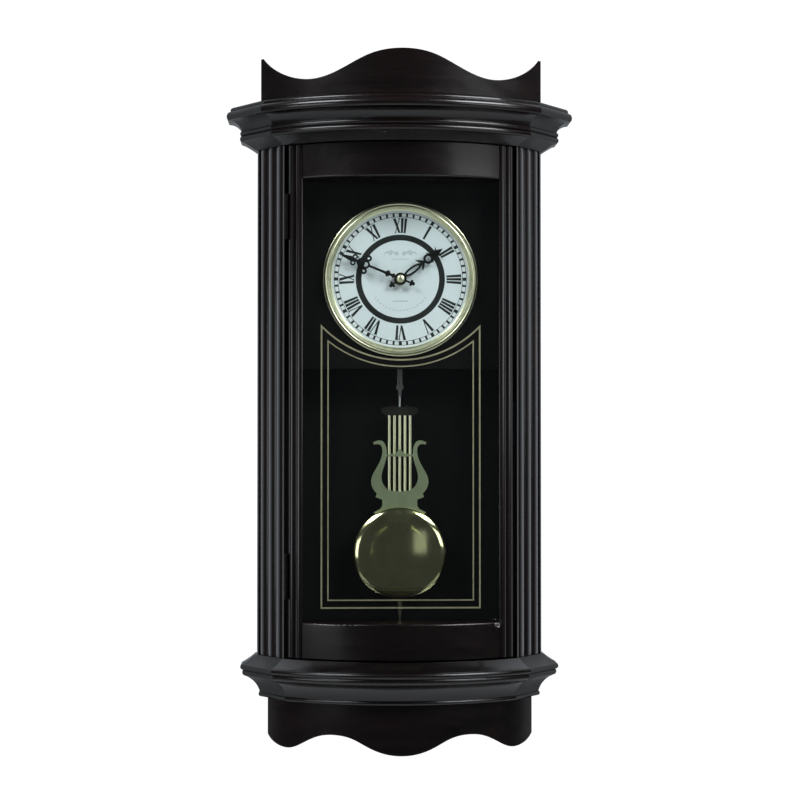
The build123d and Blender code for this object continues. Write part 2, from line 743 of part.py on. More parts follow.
def movement_rear_cover():
    """Rear plate of the movement, with the battery opening, shaft bearings and switch slot."""
    y = REAR_PLATE
    plate = block((-MOVEMENT_HALF, MOVEMENT_HALF), y, (MOVEMENT_BOTTOM, MOVEMENT_TOP))
    plate = fillet(plate.edges().filter_by(Axis.Y), 4.0)
    plate += shaft(3.6, 0, DIAL_HEIGHT, (y[0] - 3, y[0]))
    plate += shaft(3.4, 0, PIVOT_HEIGHT, (PENDULUM_Y + 1.6, y[0]))
    opening = (BATTERY_HEIGHT - 7.6, BATTERY_HEIGHT + 7.6)
    plate -= block((-27, 27), (y[0] - 1, y[1] + 1), opening)
    plate -= shaft(PIPE_BORE, 0, DIAL_HEIGHT, (y[0] - 4, y[0] + 1))
    plate -= shaft(WHEEL_SHAFT + RUNNING, WHEEL_OFFSET, DIAL_HEIGHT, (y[0] - 1, y[1] + 1))
    plate -= shaft(1.2, 0, PIVOT_HEIGHT, (PENDULUM_Y, y[0]))
    plate -= block(
        (SWITCH_X - SWITCH_TRAVEL - 1.7, SWITCH_X + SWITCH_TRAVEL + 1.7),
        (y[0] - 1, y[1] + 1),
        (SWITCH_HEIGHT - 1.7, SWITCH_HEIGHT + 1.7),
    )
    return drilled(plate, movement_screws())


def battery_cover():
    """Lid that fills the battery opening, with finger ribs."""
    y = REAR_PLATE
    lid = block((-27, 27), (y[0] + 0.3, y[1]), (BATTERY_HEIGHT - 7.6, BATTERY_HEIGHT + 7.6))
    for i in range(4):
        x = 14 + 3 * i
        lid += block((x, x + 1), (y[1], y[1] + 0.6), (BATTERY_HEIGHT - 4, BATTERY_HEIGHT + 4))
    return lid


def battery():
    body = barrel(BATTERY_RADIUS, (-BATTERY_HALF + 1.2, BATTERY_HALF), BATTERY_Y, BATTERY_HEIGHT)
    return body + barrel(2.7, (-BATTERY_HALF, -BATTERY_HALF + 1.2), BATTERY_Y, BATTERY_HEIGHT)


def battery_contacts():
    """Flat contact at the positive end and a dished spring contact at the other."""
    z = (BATTERY_HEIGHT - 5, BATTERY_HEIGHT + 5)
    y = (BATTERY_Y - 4, BATTERY_Y + 5)
    flat = block((-BATTERY_HALF - 0.5, -BATTERY_HALF), y, z)
    dished = block((BATTERY_HALF + 2.5, BATTERY_HALF + 3.0), y, z)
    for i in range(3):
        step = BATTERY_HALF + 2.5 - 2.5 * (i + 1) / 3
        dished += barrel(4.2 - i, (step, BATTERY_HALF + 2.5), BATTERY_Y, BATTERY_HEIGHT)
    return group([flat, dished])


def gear(teeth, module, y, phase):
    """A wheel with stub teeth, thinned so that a pair runs with backlash."""
    pitch = module * teeth / 2
    tip, root = pitch + 0.8 * module, pitch - 1.3 * module
    step = 360 / teeth
    corners = [(root, -0.24), (tip, -0.10), (tip, 0.10), (root, 0.24)]
    points = []
    for i in range(teeth):
        for radius, share in corners:
            angle = radians(phase + (i + share) * step)
            points.append((radius * cos(angle), radius * sin(angle)))
    return along_y(polygon(points), max(y), min(y))


MINUTE_MODULE = 0.5
HOUR_MODULE = 0.48
MINUTE_GEAR_Y = (-28.0, -26.0)
HOUR_GEAR_Y = (-32.0, -30.0)
HAND_HOUR = (-46.9, -46.1)
HAND_MINUTE = (-49.2, -48.4)


def minute_arbor():
    """Arbor that carries the minute hand, in one piece with its 12-leaf pinion."""
    arbor = shaft(ARBOR_RADIUS, 0, 0, (HAND_MINUTE[1], REAR_PLATE[0] - 0.4))
    arbor += shaft(1.1, 0, 0, (HAND_MINUTE[0] - 1.2, HAND_MINUTE[1]))
    arbor += gear(12, MINUTE_MODULE, MINUTE_GEAR_Y, 0)
    return Pos(0, 0, DIAL_HEIGHT) * arbor


def minute_wheel():
    """Minute wheel and its pinion on one shaft that ends in the setting square."""
    wheel = gear(36, MINUTE_MODULE, MINUTE_GEAR_Y, 5)
    for i in range(4):
        angle = radians(45 + 90 * i)
        wheel -= shaft(2.0, 5.2 * cos(angle), 5.2 * sin(angle), (-29, -25))
    wheel += gear(10, HOUR_MODULE, (HOUR_GEAR_Y[0], MINUTE_GEAR_Y[0]), 0)
    wheel += shaft(WHEEL_SHAFT, 0, 0, (MINUTE_GEAR_Y[0], -8.4))
    wheel += shaft(0.8, 0, 0, (FRONT_WALL[0] + 1.0, HOUR_GEAR_Y[0]))
    return Pos(WHEEL_OFFSET, 0, DIAL_HEIGHT) * wheel


def setting_knob():
    """Fluted knob at the back for setting the hands."""
    y = (-11.6, -8.4)
    knob = shaft(6.0, 0, 0, y)
    for i in range(18):
        angle = radians(20 * i)
        knob -= shaft(0.5, 6.1 * cos(angle), 6.1 * sin(angle), (-13, -7))
    knob -= shaft(WHEEL_SHAFT, 0, 0, (-13, -7))
    return Pos(WHEEL_OFFSET, 0, DIAL_HEIGHT) * knob


def hour_wheel():
    """Hour wheel with the long pipe that carries the hour hand."""
    wheel = gear(40, HOUR_MODULE, HOUR_GEAR_Y, 4.5)
    wheel += shaft(PIPE_RADIUS, 0, 0, (HAND_HOUR[0] - 0.3, HOUR_GEAR_Y[1]))
    wheel -= shaft(PIPE_BORE, 0, 0, (-50, -29))
    return Pos(0, 0, DIAL_HEIGHT) * wheel


def threaded_stem():
    """Fixed stem that clamps the movement to the dial; the hour pipe turns inside it."""
    stem = shaft(STEM_RADIUS, 0, 0, (-45.4, FRONT_WALL[1]))
    stem += shaft(6.5, 0, 0, (FRONT_WALL[1], FRONT_WALL[1] + 1.4))
    stem -= shaft(STEM_BORE, 0, 0, (-50, -30))
    return Pos(0, 0, DIAL_HEIGHT) * stem


def stem_washer():
    ring = shaft(5.8, 0, DIAL_HEIGHT, (-43.5, DIAL_PLATE[0]))
    return ring - shaft(STEM_RADIUS, 0, DIAL_HEIGHT, (-44, -42))


def stem_nut():
    face = RegularPolygon(5.6, 6)
    nut = Pos(0, 0, DIAL_HEIGHT) * along_y(face, -43.5, -45.2)
    return nut - shaft(STEM_RADIUS, 0, DIAL_HEIGHT, (-46, -43))


def ring(x, z, outer, inner):
    return Pos(x, z) * (Circle(outer) - Circle(inner))


def bar(width_low, width_high, low, high):
    """A tapered bar up the hand's centre line."""
    corners = [(-width_low / 2, low), (width_low / 2, low), (width_high / 2, high), (-width_high / 2, high)]
    return polygon(corners)


def lozenge(half, low, middle, high):
    return polygon([(-half, middle), (0, low), (half, middle), (0, high)])


def wings(half, tip, root, thick):
    """Pair of pointed leaves that spread from the hand's centre line to two tips."""
    top = [(-half, tip), (-half * 0.5, (tip + root) / 2 + thick * 0.4), (0, root + thick / 2)]
    bottom = [(0, root - thick / 2), (-half * 0.4, (tip + root) / 2 - thick * 0.5)]
    right_top = [(-x, z) for x, z in reversed(top[:2])]
    right_bottom = [(-x, z) for x, z in bottom[1:]]
    return polygon([*top, *right_top, *right_bottom, bottom[0], *bottom[1:]])


def tail(reach):
    """Short counterpoise with a trefoil end."""
    face = bar(1.7, 1.7, -reach + 1.0, -4) + Pos(0, -reach) * Circle(1.7)
    for side in (-1, 1):
        face += Pos(side * 1.8, -reach + 1.9) * Circle(1.2)
    return face


def hour_hand():
    """Serpentine hour hand: slotted shaft, winged collar, round loop and leaf tip."""
    face = Circle(5.2) + tail(10.8)
    face += Pos(0, 14.0) * (Ellipse(3.3, 10.0) - Ellipse(1.4, 6.8))
    face += bar(2.8, 2.8, 22.6, 28.4) + wings(6.6, 21.0, 26.8, 3.0)
    face += ring(0, 31.8, 4.7, 2.5) + wings(6.2, 33.0, 36.6, 2.6)
    face += bar(2.4, 2.4, 35.6, 41) + wings(5.6, 43.6, 39.6, 2.6)
    face += lozenge(2.5, 39.4, 42.4, 48.2)
    face -= Circle(PIPE_RADIUS)
    hand = along_y(face, HAND_HOUR[1], HAND_HOUR[0])
    return Pos(0, 0, DIAL_HEIGHT) * Rot(0, HOUR_ANGLE, 0) * hand


def minute_hand():
    """Serpentine minute hand: two lozenges, slim shaft, three loops, wings and a long point."""
    face = Circle(5.6) + tail(12.6) + bar(2.6, 2.0, 4, 31.6)
    face += lozenge(2.6, 4.6, 7.2, 9.8) + lozenge(3.4, 9.2, 12.6, 17.0)
    face += ring(0, 34.7, 4.0, 2.1) + bar(2.3, 2.3, 38, 47)
    for side in (-1, 1):
        face += ring(side * 6.2, 34.2, 3.0, 1.1) + ring(side * 2.9, 46.3, 2.6, 1.1)
    face += wings(5.4, 39.8, 43.0, 2.8) + lozenge(2.4, 44.6, 49.4, 62.8)
    face -= Circle(1.1)
    hand = along_y(face, HAND_MINUTE[1], HAND_MINUTE[0])
    return Pos(0, 0, DIAL_HEIGHT) * Rot(0, MINUTE_ANGLE, 0) * hand


def hand_cap():
    """Domed nut that holds the minute hand."""
    front = HAND_MINUTE[0]
    dome = [(1.1, front), (3.6, front), (3.6, front - 0.7), (2.9, front - 1.5), (1.6, front - 2.0)]
    dome += [(0, front - 2.1), (0, front - 1.2), (1.1, front - 1.2)]
    return turned(dome, 0, DIAL_HEIGHT)


def motor_coil():
    """Copper winding of the stepping motor between two flanges."""
    x, y = -25.5, -25.0
    coil = upright(3.6, x, y, (424, 442))
    for z in (422.6, 442):
        coil += upright(4.6, x, y, (z, z + 1.4))
    return coil


def motor_stator():
    """Stator plate beside the coil, with the rotor eye."""
    plate = block((-32, -12.5), (-31.5, -30.5), (418, 449))
    plate -= block((-33, -18.5), (-32, -30), (425, 442))
    return plate - shaft(2.4, -15.3, 433.5, (-32, -30))


def circuit_board():
    board = block((12, 33), (-34.0, -32.6), (384, 418))
    board += block((16, 24), (-32.6, -31.2), (394, 402))
    board += block((26, 30), (-32.6, -31.4), (404, 412))
    return board


def speaker():
    """Small loudspeaker for the chime behind the front wall's sound holes."""
    outline = [(0, -34.2), (5, -35.9), (11.2, -35.9), (11.2, -33.0), (6.4, -30.5), (6.4, -27.5), (0, -27.5)]
    return turned(outline, -22, 400)


def pendulum_coil():
    """Drive coil behind the pendulum hanger."""
    coil = shaft(3.2, 0, 381.6, (-22.6, REAR_PLATE[0]))
    keep_out = shaft(3.4, 0, PIVOT_HEIGHT, (-30, REAR_PLATE[0]))
    return coil - keep_out


def chime_switch():
    """Slide knob in the movement's rear cover that picks chime, strike or silence."""
    inside, outside = REAR_PLATE

    def slab(half_x, depth, half_z):
        return Pos(SWITCH_X, 0, SWITCH_HEIGHT) * block((-half_x, half_x), depth, (-half_z, half_z))

    knob = slab(2.4, (outside + 0.3, outside + 2.6), 2.8)
    knob += slab(1.4, (inside - 0.3, outside + 0.3), 1.4)
    knob += slab(6.8, (inside - 1.3, inside - 0.3), 2.8)
    return knob


# ---------------------------------------------------------------- pendulum
def pivot_pin():
    return shaft(1.2, 0, PIVOT_HEIGHT, (FRONT_WALL[1] + 0.2, REAR_PLATE[0] - 0.4))


def pendulum_hanger():
    """Steel strip with an eye at the pivot and a hook at its lower end."""
    y = (PENDULUM_Y - 1, PENDULUM_Y + 1)
    strip = block((-2.4, 2.4), y, (336, PIVOT_HEIGHT))
    strip += shaft(4.0, 0, PIVOT_HEIGHT, y)
    hook = ring(0, 334, 3.4, 1.7)
    strip += along_y(hook, y[1], y[0])
    return strip - shaft(1.2 + RUNNING, 0, PIVOT_HEIGHT, (-30, -24))


def hook_rod():
    """Thin rod with a peg through the hanger's hook and a foot on the cap plate."""
    rod = upright(1.1, 0, PENDULUM_Y, (315.8, 328.0))
    rod += block((-1.5, 1.5), (PENDULUM_Y - 2.4, PENDULUM_Y + 1.0), (326, 330))
    rod += block((-1.5, 1.5), (PENDULUM_Y - 2.4, PENDULUM_Y - 1.1), (329, 335.4))
    rod += shaft(1.5, 0, 334, (PENDULUM_Y - 2, PENDULUM_Y + 1.6))
    return rod


ROD_Y = -25.6
LYRE = (-28.0, -27.0)


def cap_plate():
    """Dark cast plate that holds the upper ends of the five rods."""
    plate = block((-14, 14), (-28.2, -23.0), (308.0, 315.8))
    for side in (-1, 1):
        plate += along_y(Pos(side * 14, 312.4) * Circle(3.2), -23.0, -28.2)
        plate += along_y(Pos(side * 7, 315.2) * Circle(2.0), -23.0, -28.2)
    return plate - block((-10, 10), (-23.8, -22.0), (309, 314))


def pendulum_rods():
    top, bottom = 308.0, 234.0
    rods = []
    for i in range(5):
        rods.append(upright(1.4, (i - 2) * ROD_SPACING, ROD_Y, (bottom, top)))
    return group(rods)


def lyre():
    """Flat lyre with scrolled arms, a thin crossbar and a foot behind the bob."""
    foot = [(0, 206), (10, 206), (17, 213), (24.6, 217.4), (18.4, 220.6)]
    foot += [(16.3, 223.6), (16.3, 229.4), (22.6, 231.8), (21.4, 235)]
    base = Polyline(*foot)
    outer = Spline((21.4, 235), (26.0, 250.5), (16.8, 270), (17.8, 280.0), (24.2, 280.6))
    tip = Line((24.2, 280.6), (24.8, 282.8))
    inner = Spline((24.8, 282.8), (15.6, 283.4), (12.2, 272), (17.0, 251), (10.0, 238))
    close = Polyline((10.0, 238), (0, 236.8), (0, 206))
    face = symmetric(make_face([base, outer, tip, inner, close]))
    bridge = [(-13, 271.4), (-4, 272.4), (0, 276.6), (4, 272.4), (13, 271.4)]
    face += polygon([*bridge, (13, 269.6), (-13, 269.6)])
    return along_y(face, LYRE[1], LYRE[0])


def dome_arc(radius, edge_y, apex_y):
    """Arc of a dome's section from its edge to its apex on the axis."""
    rise = edge_y - apex_y
    sphere = (radius**2 + rise**2) / (2 * rise)
    half = asin(radius / sphere) / 2
    middle = (sphere * sin(half), apex_y + sphere * (1 - cos(half)))
    return ThreePointArc((radius, edge_y), middle, (0, apex_y))


def bob_front():
    """Pressed brass front of the bob: a shallow dome inside a rolled rim."""
    edge, rim = -29.6, BOB_RADIUS
    outer = dome_arc(rim - 3.0, edge - 1.0, -35.6)
    inner = dome_arc(rim - 3.8, edge, -34.6)
    edges = [
        Line((0, -35.6), (0, -34.6)),
        inner,
        Polyline((rim - 3.8, edge), (rim - 1.2, edge), (rim - 1.2, -26.0), (rim, -26.0), (rim, edge)),
        ThreePointArc((rim, edge), (rim - 1.2, edge - 1.9), (rim - 3.0, edge - 1.0)),
        outer,
    ]
    shell = Pos(0, 0, BOB_HEIGHT) * revolve(make_face(edges), Axis.Y)
    notch = block((-26, 26), (LYRE[0], LYRE[1] + 2), (BOB_HEIGHT + 20, BOB_HEIGHT + 60))
    return shell - notch


def bob_back():
    """Flat steel back of the bob, held inside the rolled rim."""
    return shaft(BOB_RADIUS - 1.2, 0, BOB_HEIGHT, (-27.0, -26.0))


def pendulum_tip():
    """Pointed rating nut on its thread below the bob."""
    top = BOB_HEIGHT - BOB_RADIUS
    thread = upright(1.2, 0, -27.6, (top - 1.0, top + 4.0))
    cone = Pos(0, -27.6, top - 11.6) * Cone(0.4, 2.7, 22.0)
    return cone + (thread & block((-3, 3), (-31, -24), (top - 1, top)))


# ---------------------------------------------------------------- write the nodes
def save(name, shape):
    export_step(Pos(0, 0, -HANG_HEIGHT) * shape, f"parts/{name}.step")


def build_case():
    post = canted_post()
    rear_fixings = [*panel_screws(), button_screw(), mirrored(button_screw())]
    save("canted_posts", group([post, drilled(mirrored(post), CASE_HINGE_SCREWS)]))
    save("side_boards", both(side_board()))
    save("top_board", case_board((BODY_TOP, CASE_TOP)))
    save("bottom_board", case_board((APRON_TOP, BODY_BOTTOM)))
    save("back_panel", drilled(back_panel(), rear_fixings))
    save("head_rails", group([hanger_rail(), header_rail()]))
    save("hanger_plate", hanger_plate())
    save("rear_cover", rear_cover())
    save("turn_button_right", turn_button())
    save("turn_button_left", mirrored(turn_button()))
    battens = [side_batten(), mirrored(side_batten()), dial_cleat(), mirrored(dial_cleat())]
    holes = [*panel_screws(), *dial_board_screws()]
    battens = [drilled(batten, holes) for batten in battens]
    save("battens_and_blocks", group([*battens, *[apron_block(x) for x in (-70, 0, 70)]]))
    pivots = [button_screw(), mirrored(button_screw())]
    save("case_screws", group([*holes, *hanger_screws(), *CASE_HINGE_SCREWS, *movement_screws(), *pivots]))


def build_mouldings():
    cornice, lower = cornice_profile(), lower_profile()
    returns = [moulding_return(cornice), moulding_return(lower)]
    save("cornice_front", moulding_front(cornice))
    save("lower_moulding_front", moulding_front(lower))
    save("cornice_returns", both(returns[0]))
    save("lower_moulding_returns", both(returns[1]))
    save("pediment", pediment())
    save("apron", apron())


def build_door():
    stile = door_stile()
    left_stile = drilled(mirrored(stile), [*hinge_reliefs(), *DOOR_HINGE_SCREWS])
    top_rabbet = (OPENING_TOP - 1, OPENING_TOP + RABBET, OPENING_TOP)
    bottom_rabbet = (OPENING_BOTTOM - RABBET, OPENING_BOTTOM + 1, OPENING_BOTTOM)
    save("door_stiles", group([drilled(stile, strike_screws()), left_stile]))
    save("door_rail_top", door_rail((OPENING_TOP, DOOR_TOP), top_rabbet))
    save("door_rail_bottom", door_rail((DOOR_BOTTOM, OPENING_BOTTOM), bottom_rabbet) - knob_stud_hole())
    save("door_glass", door_glass())
    save("glass_retainers", glass_retainers())
    save("door_knob", door_knob())
    save("strike_plate", strike_plate())
    save("door_screws", group([*strike_screws(), *DOOR_HINGE_SCREWS]))
    save("magnetic_catch", group([catch_case(), catch_magnet()]))
    save("hinge_leaves_case", case_hinge_leaves())
    save("hinge_leaves_door", door_hinge_leaves())


def build_dial():
    save("dial_board", dial_board())
    save("dial_plate", dial_plate())
    save("bezel", bezel())


def build_movement():
    save("movement_housing", movement_housing())
    save("movement_rear_cover", movement_rear_cover())
    save("battery", battery())
    save("battery_cover", battery_cover())
    save("battery_contacts", battery_contacts())
    save("minute_arbor", minute_arbor())
    save("minute_wheel", minute_wheel())
    save("setting_knob", setting_knob())
    save("hour_wheel", hour_wheel())
    save("threaded_stem", threaded_stem())
    save("stem_nut", group([stem_washer(), stem_nut()]))
    save("hour_hand", hour_hand())
    save("minute_hand", minute_hand())
    save("hand_cap", hand_cap())
    save("drive_coils", group([motor_coil(), pendulum_coil()]))
    save("motor_stator", motor_stator())
    save("circuit_board", circuit_board())
    save("speaker", speaker())
    save("chime_switch", chime_switch())


def build_pendulum():
    save("pivot_pin", pivot_pin())
    save("pendulum_hanger", pendulum_hanger())
    save("pendulum_hook_rod", hook_rod())
    save("pendulum_cap_plate", cap_plate())
    save("pendulum_rods", pendulum_rods())
    save("pendulum_lyre", lyre())
    save("bob_front", bob_front())
    save("bob_back", bob_back())
    save("pendulum_tip", pendulum_tip())


build_case()
build_mouldings()
build_door()
build_dial()
build_movement()
build_pendulum()
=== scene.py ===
"""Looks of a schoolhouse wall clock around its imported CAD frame.

Metres throughout, in the frame's own axes: X to the right, Y into the wall, Z up. Sizes below are in millimetres and
go through MM. The wood, brass, enamel and glass are procedural; the dial's print and the gilt lines are thin relief.
"""

import math

import bmesh
import bpy
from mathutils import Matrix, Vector


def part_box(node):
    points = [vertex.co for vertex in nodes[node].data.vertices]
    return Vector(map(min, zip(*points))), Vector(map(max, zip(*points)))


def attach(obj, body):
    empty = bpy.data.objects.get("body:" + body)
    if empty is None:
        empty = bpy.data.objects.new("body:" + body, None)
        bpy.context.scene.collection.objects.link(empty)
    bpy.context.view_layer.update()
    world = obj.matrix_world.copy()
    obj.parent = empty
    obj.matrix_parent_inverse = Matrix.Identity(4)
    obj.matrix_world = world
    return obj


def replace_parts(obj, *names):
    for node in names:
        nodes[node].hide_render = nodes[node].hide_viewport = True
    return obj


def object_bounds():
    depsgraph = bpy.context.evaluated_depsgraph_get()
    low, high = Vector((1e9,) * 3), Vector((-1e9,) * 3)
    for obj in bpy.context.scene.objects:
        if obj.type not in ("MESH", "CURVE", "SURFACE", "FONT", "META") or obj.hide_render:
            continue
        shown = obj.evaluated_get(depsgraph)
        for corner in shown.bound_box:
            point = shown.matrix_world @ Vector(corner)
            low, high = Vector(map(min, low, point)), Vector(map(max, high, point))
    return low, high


MM = 0.001
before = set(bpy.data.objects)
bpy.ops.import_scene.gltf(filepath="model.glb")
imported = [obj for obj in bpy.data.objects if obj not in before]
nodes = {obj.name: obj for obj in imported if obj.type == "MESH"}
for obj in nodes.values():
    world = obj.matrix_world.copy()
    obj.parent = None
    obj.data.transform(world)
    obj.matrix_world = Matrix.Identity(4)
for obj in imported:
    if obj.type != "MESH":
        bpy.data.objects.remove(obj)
cad_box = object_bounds()


# ---------------------------------------------------------------- materials
class Finish:
    """A Principled material and the nodes that vary its colour, gloss and relief."""

    def __init__(self, name, **sockets):
        self.material = bpy.data.materials.new(name)
        self.material.use_nodes = True
        self.nodes = self.material.node_tree.nodes
        self.link = self.material.node_tree.links.new
        self.shader = self.nodes["Principled BSDF"]
        for socket, value in sockets.items():
            self.shader.inputs[socket.replace("_", " ")].default_value = value
        self.place = self.nodes.new("ShaderNodeTexCoord").outputs["Object"]

    def stretched(self, periods):
        """Object coordinates divided by a period in millimetres along each axis."""
        mapping = self.nodes.new("ShaderNodeMapping")
        mapping.inputs["Scale"].default_value = [1 / (period * MM) for period in periods]
        self.link(self.place, mapping.inputs["Vector"])
        return mapping.outputs["Vector"]

    def noise(self, periods, detail=4.0, roughness=0.55, distortion=0.0):
        noise = self.nodes.new("ShaderNodeTexNoise")
        noise.inputs["Scale"].default_value = 1.0
        noise.inputs["Detail"].default_value = detail
        noise.inputs["Roughness"].default_value = roughness
        noise.inputs["Distortion"].default_value = distortion
        self.link(self.stretched(periods), noise.inputs["Vector"])
        return noise.outputs["Fac"]

    def ramp(self, factor, stops):
        """Colour ramp through (place, linear colour) stops."""
        ramp = self.nodes.new("ShaderNodeValToRGB")
        elements = ramp.color_ramp.elements
        while len(elements) < len(stops):
            elements.new(0.5)
        for element, (place, colour) in zip(elements, stops):
            element.position = place
            element.color = (*colour, 1.0)
        self.link(factor, ramp.inputs["Fac"])
        return ramp.outputs["Color"]

    def span(self, factor, low, high, start=0.3, end=0.7):
        """Map a noise's middle range onto low to high."""
        change = self.nodes.new("ShaderNodeMapRange")
        for socket, value in zip(("From Min", "From Max", "To Min", "To Max"), (start, end, low, high)):
            change.inputs[socket].default_value = value
        self.link(factor, change.inputs["Value"])
        return change.outputs["Result"]

    def mixed(self, factor, first, second, blend="MIX"):
        """Blend two colours, by a map or by one number."""
        mix = self.nodes.new("ShaderNodeMix")
        mix.data_type = "RGBA"
        mix.blend_type = blend
        if isinstance(factor, float):
            mix.inputs["Factor"].default_value = factor
        else:
            self.link(factor, mix.inputs["Factor"])
        self.link(first, mix.inputs["A"])
        self.link(second, mix.inputs["B"])
        return mix.outputs["Result"]

    def drive(self, socket, output):
        self.link(output, self.shader.inputs[socket])

    def soft_edges(self, radius):
        """Normals rounded over hard edges by a radius in millimetres."""
        bevel = self.nodes.new("ShaderNodeBevel")
        bevel.samples = 4
        bevel.inputs["Radius"].default_value = radius * MM
        return bevel.outputs["Normal"]

    def relief(self, height, depth, before=None):
        """Bump of the given depth in millimetres, added to an earlier bump."""
        bump = self.nodes.new("ShaderNodeBump")
        bump.inputs["Strength"].default_value = 1.0
        bump.inputs["Distance"].default_value = depth * MM
        self.link(height, bump.inputs["Height"])
        if before is not None:
            self.link(before, bump.inputs["Normal"])
        self.link(bump.outputs["Normal"], self.shader.inputs["Normal"])
        self.link(bump.outputs["Normal"], self.shader.inputs["Coat Normal"])
        return bump.outputs["Normal"]


STREAK_SHARE = 0.9
EDGE_RADIUS, PORE_DEPTH, WAVE_DEPTH = 0.5, 0.012, 0.06


def lacquered_wood(name, grain, dark, brown, red, gloss=(0.20, 0.28), coat=0.25, shine=0.42):
    """Espresso-stained hardwood under lacquer. grain is the axis the fibres run along."""
    finish = Finish(name, Coat_Weight=coat, Coat_Roughness=0.12, Specular_IOR_Level=shine)

    def along(across, length):
        return [length if axis == grain else across for axis in range(3)]

    figure = finish.noise(along(16, 210), detail=6, roughness=0.6, distortion=0.6)
    fibres = finish.noise(along(0.9, 38), detail=3, roughness=0.7)
    glow = finish.noise(along(70, 160), detail=2)
    base = finish.ramp(figure, [(0.30, dark), (0.55, brown), (0.78, red)])
    streaks = finish.ramp(fibres, [(0.36, (0.45, 0.42, 0.42)), (0.62, (1.0, 1.0, 1.0))])
    warm = finish.ramp(figure, [(0.2, brown), (0.8, red)])
    stained = finish.mixed(finish.span(glow, 0.0, 1.0, 0.35, 0.75), base, warm)
    finish.drive("Base Color", finish.mixed(STREAK_SHARE, stained, streaks, "MULTIPLY"))
    finish.drive("Roughness", finish.span(figure, *gloss))
    pores = finish.relief(fibres, PORE_DEPTH, finish.soft_edges(EDGE_RADIUS))
    finish.relief(finish.noise(along(30, 60), detail=1), WAVE_DEPTH, pores)
    return finish.material


def metal(name, light, deep, gloss, brush=(6, 6, 6), smear=0.01, **sockets):
    """Metal whose colour drifts between two tints, with faint polishing marks."""
    finish = Finish(name, Metallic=1.0, **sockets)
    tarnish = finish.noise((22, 22, 22), detail=5, roughness=0.6)
    marks = finish.noise(brush, detail=3, roughness=0.7)
    finish.drive("Base Color", finish.ramp(tarnish, [(0.32, deep), (0.62, light)]))
    finish.drive("Roughness", finish.span(marks, *gloss))
    if smear:
        finish.relief(marks, smear)
    return finish.material


def moulded(name, light, deep, gloss, grain=(1.2, 1.2, 1.2), depth=0.02, **sockets):
    """Paint, plastic or enamel with a fine orange-peel surface."""
    finish = Finish(name, **sockets)
    cloud = finish.noise((35, 35, 35), detail=3)
    peel = finish.noise(grain, detail=2)
    finish.drive("Base Color", finish.ramp(cloud, [(0.3, deep), (0.7, light)]))
    finish.drive("Roughness", finish.span(cloud, *gloss))
    finish.relief(peel, depth)
    return finish.material


X, Y, Z = 0, 1, 2
DARK, BROWN, RED = (0.0022, 0.0017, 0.0017), (0.0050, 0.0030, 0.0029), (0.0120, 0.0042, 0.0040)
wood_upright = lacquered_wood("espresso_upright", Z, DARK, BROWN, RED)
wood_across = lacquered_wood("espresso_across", X, DARK, BROWN, RED)
INNER = ((0.0022, 0.0021, 0.0020), (0.0036, 0.0033, 0.0031), (0.0050, 0.0041, 0.0038))
wood_inner = lacquered_wood("inner_board", Z, *INNER, gloss=(0.55, 0.65), coat=0.0, shine=0.12)
# Painted sheen: the mitred returns get a lighter, greyer copy of the lacquered wood, standing in for the bright
# surroundings these side faces reflect.
RETURN_PAINTED_SHEEN = ((0.0040, 0.0040, 0.0033), (0.0080, 0.0078, 0.0064), (0.0120, 0.0108, 0.0090))
wood_returns_painted_sheen = lacquered_wood("espresso_returns_painted_sheen", Y, *RETURN_PAINTED_SHEEN, gloss=(0.42, 0.55), coat=0.0, shine=0.25)
brass_polished = metal("brass_polished", (0.84, 0.80, 0.44), (0.74, 0.70, 0.36), (0.09, 0.15), (18, 18, 18), 0)
brass_rim = metal("brass_rim", (0.96, 0.93, 0.66), (0.89, 0.86, 0.57), (0.30, 0.37), (18, 18, 18), 0)
brass_satin = metal("brass_satin", (0.56, 0.62, 0.38), (0.46, 0.52, 0.32), (0.40, 0.50), (0.8, 0.8, 14), 0.003)
brass_aged = metal("brass_aged", (0.24, 0.22, 0.15), (0.16, 0.15, 0.10), (0.35, 0.45))
gilt = metal("gilt_line", (0.84, 0.76, 0.50), (0.70, 0.62, 0.40), (0.40, 0.5))
steel = metal("steel", (0.52, 0.52, 0.50), (0.38, 0.38, 0.37), (0.24, 0.38), (0.6, 0.6, 8))
bronze = metal("bronze", (0.010, 0.009, 0.008), (0.006, 0.005, 0.005), (0.40, 0.55))
knob_metal = metal("knob_metal", (0.60, 0.58, 0.52), (0.42, 0.40, 0.36), (0.16, 0.26))
casting = metal("dark_casting", (0.050, 0.047, 0.040), (0.025, 0.024, 0.021), (0.42, 0.58))
copper = metal("copper", (0.75, 0.30, 0.16), (0.52, 0.20, 0.10), (0.2, 0.35), (0.3, 0.3, 0.3), 0.05)
enamel = moulded("dial_enamel", (0.83, 0.88, 0.89), (0.79, 0.84, 0.86), (0.30, 0.40))
print_black = moulded("dial_print", (0.012, 0.015, 0.013), (0.007, 0.009, 0.008), (0.40, 0.55))
print_grey = moulded("dial_print_fine", (0.17, 0.20, 0.20), (0.13, 0.15, 0.15), (0.40, 0.55))
hand_black = moulded("hand_black", (0.0055, 0.0058, 0.0055), (0.0035, 0.0035, 0.0035), (0.28, 0.42), Coat_Weight=0.3)
black_plastic = moulded("black_plastic", (0.020, 0.020, 0.021), (0.014, 0.014, 0.015), (0.42, 0.55))
cover_plastic = moulded("cover_plastic", (0.030, 0.028, 0.027), (0.020, 0.019, 0.018), (0.5, 0.62))
white_plastic = moulded("white_plastic", (0.62, 0.61, 0.57), (0.52, 0.51, 0.47), (0.35, 0.5))
board_green = moulded("board_green", (0.02, 0.10, 0.035), (0.012, 0.06, 0.02), (0.35, 0.5))
shell_green = moulded("battery_shell", (0.030, 0.10, 0.16), (0.018, 0.06, 0.10), (0.25, 0.35), Metallic=0.3)


GRAZING_POWER, MIRROR_AHEAD, MIRROR_GRAZING = 5.0, 0.035, 0.9


